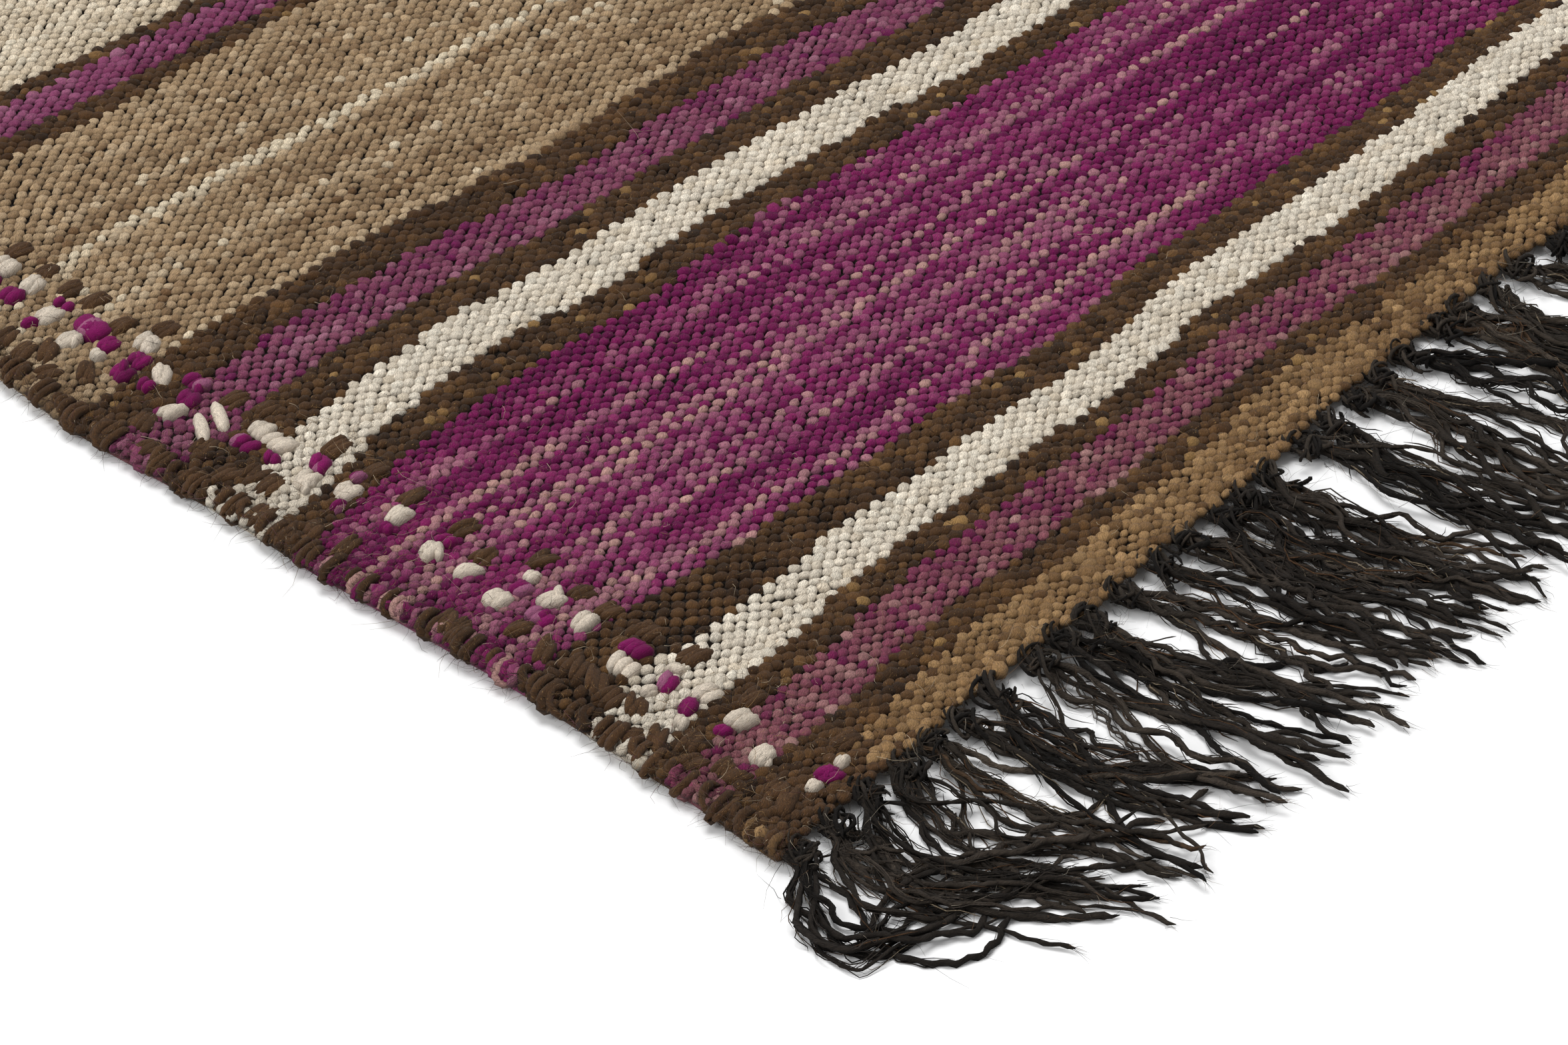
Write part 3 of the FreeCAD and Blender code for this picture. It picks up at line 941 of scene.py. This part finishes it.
def strand_lines(end, middle, rng):
    """The middle line of every strand: its heading turns from one way to another, with a wander and a crimp,
    and the line is the running sum of short steps along that heading."""
    down = np.linspace(0, 1, STRAND_STEPS)
    lines, owners = [], []
    for number, root in enumerate(middle):
        clump = rng.uniform(0.3, 1.0)
        from_left = root if end == "front" else width - root
        sway = rng.normal(0, 10 if from_left > 20 else 3)
        begin = smooth_through(leaving, from_left) + sway
        finish = smooth_through(ending, from_left) + rng.normal(0, 11)
        turn_at = rng.uniform(0.3, 0.6)
        turned = eased(np.clip((down - turn_at) / 0.35 + 0.5, 0, 1))
        for _ in range(rng.integers(6, 10) + (3 if from_left < 10 else 0)):
            place = rng.uniform(-1, 1)
            whole = fringe_length * rng.uniform(0.82, 0.97)
            gone = down * whole
            opening = np.clip((gone - 7) / 14, 0, 1)
            heading = begin + (finish - begin) * turned + place * rng.uniform(8, 34) * clump * opening
            for most, low, high in heading_waves:
                size = rng.normal(0, most)
                heading = heading + size * np.sin(FULL_TURN * down * rng.uniform(low, high) + any_turn(rng))
            heading = np.radians(heading + rng.normal(0, 6) * opening)
            step = whole / (STRAND_STEPS - 1)
            across = root + place * 2.9 + np.cumsum(np.sin(heading)) * step
            along = 1.5 - np.cumsum(np.cos(heading)) * step
            waist = np.exp(-(((gone - 6.0) / 4.0) ** 2))
            across = across + (root - across) * 0.5 * waist
            over = np.abs(across - width / 2) - width / 2 - FREE_SPLAY
            held = np.where(over > 0, over - LAST_SPLAY * np.tanh(np.maximum(over, 0) / LAST_SPLAY), 0)
            across = across - held * np.sign(across - width / 2)
            settled = 1 - np.exp(-gone / 9.0)
            layer = rng.uniform(0, 3.4) * (0.5 + 0.5 * np.sin(down * rng.uniform(4, 11) + any_turn(rng)))
            height = strand_radius + 0.1 + layer * settled + 2.0 * (1 - settled)
            height = height + 1.2 * waist * rng.uniform(0, 1)
            lines.append(np.stack([across, along, height], axis=1))
            owners.append(number)
    return np.array(lines), np.array(owners)


def fringe(end):
    """Warp ends: bundles of two-ply goat hair strands that leave a knot at the weave's end."""
    rng = np.random.default_rng(51 if end == "front" else 52)
    bundles = int((width - 6) / bundle_pitch)
    middle = width / 2 + (np.arange(bundles + 1) - bundles / 2) * bundle_pitch
    middle = middle + rng.normal(0, 1.3, bundles + 1)
    lines, owners = strand_lines(end, middle, rng)
    one, other = rng.integers(0, len(FRINGE_DYES), (2, bundles + 1))
    bundle_dyes = FRINGE_DYES[one] * 0.6 + FRINGE_DYES[other] * 0.4
    dyes = bundle_dyes[owners] * rng.uniform(0.45, 1.6, (len(lines), 1))
    dyes = np.where(rng.random((len(lines), 1)) < 0.03, dye(78, 60, 44), dyes)
    radii = strand_radius * rng.uniform(0.6, 1.3, len(lines))
    paths = lay_fringe(end, lines)
    near = (middle[owners] < CLOSE_ACROSS) & (end == "front")
    made = []
    groups = [*np.array_split(np.nonzero(near)[0], 2), np.nonzero(~near)[0]]
    for number, chosen in enumerate(groups):
        if len(chosen) == 0:
            continue
        stride, sides, swell = (1, 5, 0.3) if near[chosen[0]] else (4, 4, 0.0)
        part = cords(paths[chosen][:, ::stride], radii[chosen], strand_twist, sides, rng, 2, swell)
        name = f"fringe_strands_{end}_{number + 1}"
        made.append(make_mesh(name, coloured(part, dyes[chosen]), goat_hair))
    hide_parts("fringe_bundles_" + end)
    made.append(fringe_knots(end, middle, rng))
    return made, paths[near], dyes[near]


def fringe_knots(end, middle, rng):
    """Each bundle's knot: thin yarn wound round it, in coils that move along the bundle and wander."""
    lines = []
    gone = np.linspace(0, 1, 19)
    for root in np.repeat(middle, WRAPS):
        start, rate = any_turn(rng), rng.uniform(0.6, 1.6)
        turn = start + gone * rng.uniform(4, 7)
        reach = rng.uniform(2.2, 4.6) * (0.75 + 0.25 * np.sin(gone * 5 + start))
        across = root + reach * np.cos(turn) + rng.normal(0, 1.0)
        along = 0.5 - rng.uniform(2.0, 9.0) * gone - rng.uniform(0, 4.0) + 2.4 * np.sin(turn * rate)
        height = np.maximum(2.9 + rng.uniform(1.2, 2.4) * np.sin(turn), 0.75)
        lines.append(np.stack([across, along, height], axis=1))
    lines = np.array(lines)
    paths = lay_fringe(end, lines)
    near = (lines[:, 0, 0] < CLOSE_ACROSS) & (end == "front")
    parts = []
    for chosen, stride, sides in near_and_far(near, (1, 5), (3, 3)):
        count = chosen.sum()
        part = cords(paths[chosen][:, ::stride], rng.uniform(0.28, 0.66, count), 4.0, sides, rng, 2, 0.2)
        colours = FRINGE_DYES[rng.integers(0, len(FRINGE_DYES), count)] * rng.uniform(0.5, 1.1, (count, 1))
        parts.append(coloured(part, colours))
    piece = make_mesh("fringe_wraps_" + end, joined(parts), goat_hair)
    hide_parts("fringe_knots_" + end)
    return piece


# --- loose hair -------------------------------------------------------------
def mixed(draw, rest, *others):
    """A dye for each hair: that of the first (limit, dye) whose limit its draw is below, or the rest."""
    for limit, other in reversed(others):
        rest = np.where(draw < limit, dye(*other), rest)
    return rest


def hairs(name, roots, directions, lengths, thick, curl, colours, rng, steps=5):
    """A piece of stray fibres: three-sided needles that leave their roots in a direction, bend and narrow.
    At share s of its length a hair is s along the direction, curl * s squared to one side, and curl / 2
    * s * the sine of a few radians * s to another."""
    count = len(roots)
    share = np.linspace(0, 1, steps)[None, :, None]
    bend = unit(rng.normal(0, 1, (count, 3)) * [1, 1, 0.5])[:, None, :]
    wave = unit(rng.normal(0, 1, (count, 3)) * [1, 1, 0.4])[:, None, :]
    curl = np.reshape(curl, (-1, 1, 1))
    paths = roots[:, None, :] + lengths[:, None, None] * (
        share * directions[:, None, :] + curl * share**2 * bend
        + 0.5 * curl * np.sin(share * rng.uniform(2, 5, (count, 1, 1))) * share * wave
    ) / METRE
    paths[..., 2] = np.clip(paths[..., 2], 0.15 / METRE, HIGHEST_HAIR / METRE)
    reach = np.broadcast_to(thick / 2 * (1.0 - 0.8 * share), (count, steps, 3))
    part = (*tubes(paths, reach, (0.12, 0.2, 1.0)), {})
    return make_mesh(name, coloured(part, colours), stray_hair)


def fringe_wisps(paths, dyes):
    """Thin locks that have worked loose: each follows a strand for a while, a little to one side of it."""
    rng = np.random.default_rng(64)
    count, steps = 2300, 8
    strand = rng.integers(0, len(paths), count)
    first = (rng.beta(0.8, 1.0, count) * (paths.shape[1] - 2 * steps)).astype(int)
    stride = rng.integers(1, 3, count)
    base = paths[strand[:, None], first[:, None] + stride[:, None] * np.arange(steps)[None]]
    share = np.linspace(0, 1, steps)[None, :, None]
    aside = rng.normal(0, 1, (count, 1, 3)) * [0.6, 0.6, 0.5]
    away = rng.normal(0, 1, (count, 1, 3)) * [2.0, 2.0, 0.9]
    wave = rng.normal(0, 0.6, (count, 1, 3))
    wave = wave * np.sin(share * rng.uniform(4, 11, (count, 1, 1)) + 3 * aside[..., :1])
    lines = base + (aside + away * share**2 + wave) / METRE
    lines[..., 2] = np.clip(lines[..., 2], 0.35 / METRE, HIGHEST_HAIR / METRE)
    part = cords(lines, rng.uniform(0.09, 0.24, count), 7.0, 3, rng, 1, 0.0)
    pale = rng.random((count, 1))
    own = dyes[strand] * rng.uniform(0.5, 1.7, (count, 1))
    colours = mixed(pale, own, (0.05, (128, 114, 94)), (0.17, (84, 60, 40)))
    return make_mesh("fringe_wisps", coloured(part, colours), goat_hair)


def fringe_hair(paths, dyes):
    """Goat hair that stands out of the strands, matted at their knots and frayed at their ends."""
    rng = np.random.default_rng(61)
    count = 4400
    strand = rng.integers(0, len(paths), count)
    last = paths.shape[1] - 2
    step = (rng.beta(0.75, 1.0, count) * last).astype(int)
    frayed = rng.random(count) < 0.2
    matted = ~frayed & (rng.random(count) < 0.4)
    step = np.where(frayed, last, np.where(matted, rng.integers(1, 8, count), step))
    roots = paths[strand, step] + rng.normal(0, 1, (count, 3)) * np.where(matted, 1.9, 0.5)[:, None] / METRE
    roots[:, 2] = np.maximum(roots[:, 2], 0.4 / METRE)
    ahead = unit(paths[strand, step + 1] - paths[strand, step - 1])
    spread = np.where(frayed, 0.3, np.where(matted, 3.0, 0.6))[:, None]
    directions = unit(ahead + rng.normal(0, 1, (count, 3)) * [1, 1, 0.6] * spread)
    short, middling, long = rng.uniform(2, 6, count), rng.gamma(3.0, 1.2, count), rng.gamma(3.0, 1.5, count)
    lengths = np.minimum(np.where(frayed, short, np.where(matted, middling, long)), 9.0)
    colours = mixed(rng.random((count, 1)), dyes[strand], (0.10, (150, 140, 124)), (0.26, (104, 76, 50)))
    curl = np.where(frayed, 0.25, np.where(matted, 1.1, 0.7))
    return hairs("fringe_hair", roots, directions, lengths, 0.15, curl, colours, rng)


def edge_hair():
    """Wool that stands out of the left selvedge beside the corner."""
    rng = np.random.default_rng(62)
    count = 4200
    along = rng.uniform(-2, 320, count)
    roots = lay(rng.exponential(4.5, count), along, rng.uniform(0.8, 4.8, count))
    outwards, lengthways = rng.uniform(0, 1, count), rng.normal(0, 0.7, count)
    directions = unit(np.stack([-outwards, lengthways, rng.normal(0.15, 0.4, count)], 1))
    colours = mixed(rng.random((count, 1)), dye(120, 98, 70), (0.72, (60, 42, 28)), (0.86, (100, 60, 64)))
    lengths = rng.gamma(3.0, 0.7, count)
    return hairs("selvedge_hair", roots, directions, lengths, 0.17, 1.1, colours, rng, 4)


def face_hair():
    """Pale and dark hairs on the face of the corner, most of them near the fringe and the selvedge."""
    rng = np.random.default_rng(63)
    most = 4300
    across = np.where(rng.random(most) < 0.3, rng.uniform(2, 45, most), rng.exponential(120, most))
    along = rng.beta(1.0, 1.6, most) * 390
    keep = in_close_corner(across, along) & (across < width)
    across, along = across[keep], along[keep]
    count = len(across)
    roots = lay(across, along, thickness + rng.uniform(-0.1, 0.4, count) + 0.7 * (across < 42))
    angle = any_turn(rng, count)
    directions = np.stack([np.cos(angle), np.sin(angle), rng.uniform(0.02, 0.4, count)], 1)
    colours = mixed(rng.random((count, 1)), dye(48, 34, 24), (0.13, (196, 178, 150)), (0.45, (140, 108, 66)))
    lengths = np.where(rng.random(count) < 0.08, rng.uniform(3, 5, count), rng.gamma(2.4, 0.75, count))
    return hairs("face_hair", roots, directions, lengths, 0.13, 1.3, colours, rng)


# --- stage, light and camera ------------------------------------------------
def target_point():
    """What the camera looks at: a place on the face near the front left corner, in metres."""
    return ((left_edge + 93.0) / METRE, (front_end + 74.0) / METRE, thickness / METRE)


def set_stage():
    """A white floor, a soft lamp overhead, another to the left, and an even white surround."""
    size = 30.0
    mesh = bpy.data.meshes.new("floor")
    corners = [(-size, -size, 0), (size, -size, 0), (size, size, 0), (-size, size, 0)]
    mesh.from_pydata(corners, [], [(0, 1, 2, 3)])
    floor = bpy.data.objects.new("floor", mesh)
    bpy.context.scene.collection.objects.link(floor)
    paper = Finish("white floor", Specular_IOR_Level=0.0, Base_Color=(0.9, 0.9, 0.9, 1), Roughness=1.0)
    mesh.materials.append(paper.material)

    world = bpy.data.worlds.new("surround")
    bpy.context.scene.world = world
    world.use_nodes = True
    world.node_tree.nodes["Background"].inputs["Color"].default_value = (1, 1, 1, 1)
    world.node_tree.nodes["Background"].inputs["Strength"].default_value = 0.46
    aim = np.array(target_point())
    for name, from_aim, energy in (("overhead", (0.5, 1.1, 4.2), 122.0), ("beside", (-3.4, 1.3, 3.0), 98.0)):
        lamp = bpy.data.lights.new(name, "AREA")
        lamp.energy = energy
        lamp.size = 2.4
        holder = bpy.data.objects.new(name, lamp)
        holder.location = aim + from_aim
        away_x, away_y, away_z = from_aim
        tip = math.acos(away_z / math.hypot(away_x, away_y, away_z))
        holder.rotation_euler = (tip, 0, math.atan2(-away_y, -away_x) - math.pi / 2)
        bpy.context.scene.collection.objects.link(holder)
    bpy.context.scene.view_settings.view_transform = "Standard"


def set_camera():
    """A long lens above and in front of the rug, to its left, turned straight at the target point."""
    azimuth, elevation, distance = math.radians(-48.53), math.radians(37.29), 1.642
    flat = distance * math.cos(elevation)
    away = (flat * math.sin(azimuth), -flat * math.cos(azimuth), distance * math.sin(elevation))
    camera_data = bpy.data.cameras.new("camera")
    camera_data.lens = 154.0
    camera_data.sensor_width = 36.0
    camera = bpy.data.objects.new("camera", camera_data)
    camera.location = np.add(target_point(), away)
    camera.rotation_euler = (math.pi / 2 - elevation, 0, azimuth)
    bpy.context.scene.collection.objects.link(camera)
    bpy.context.scene.camera = camera


# --- the rug ----------------------------------------------------------------
set_camera()
set_stage()
ground = lay_ground()
pieces = weave_corner() + weave_relief()
for side in ("left", "right"):
    pieces.append(selvedge(side))
    pieces += brocade(side)
front_fringe, front_paths, front_dyes = fringe("front")
back_fringe, _, _ = fringe("back")
pieces += front_fringe + back_fringe
pieces += [fringe_wisps(front_paths, front_dyes), fringe_hair(front_paths, front_dyes)]
pieces += [edge_hair(), face_hair()]
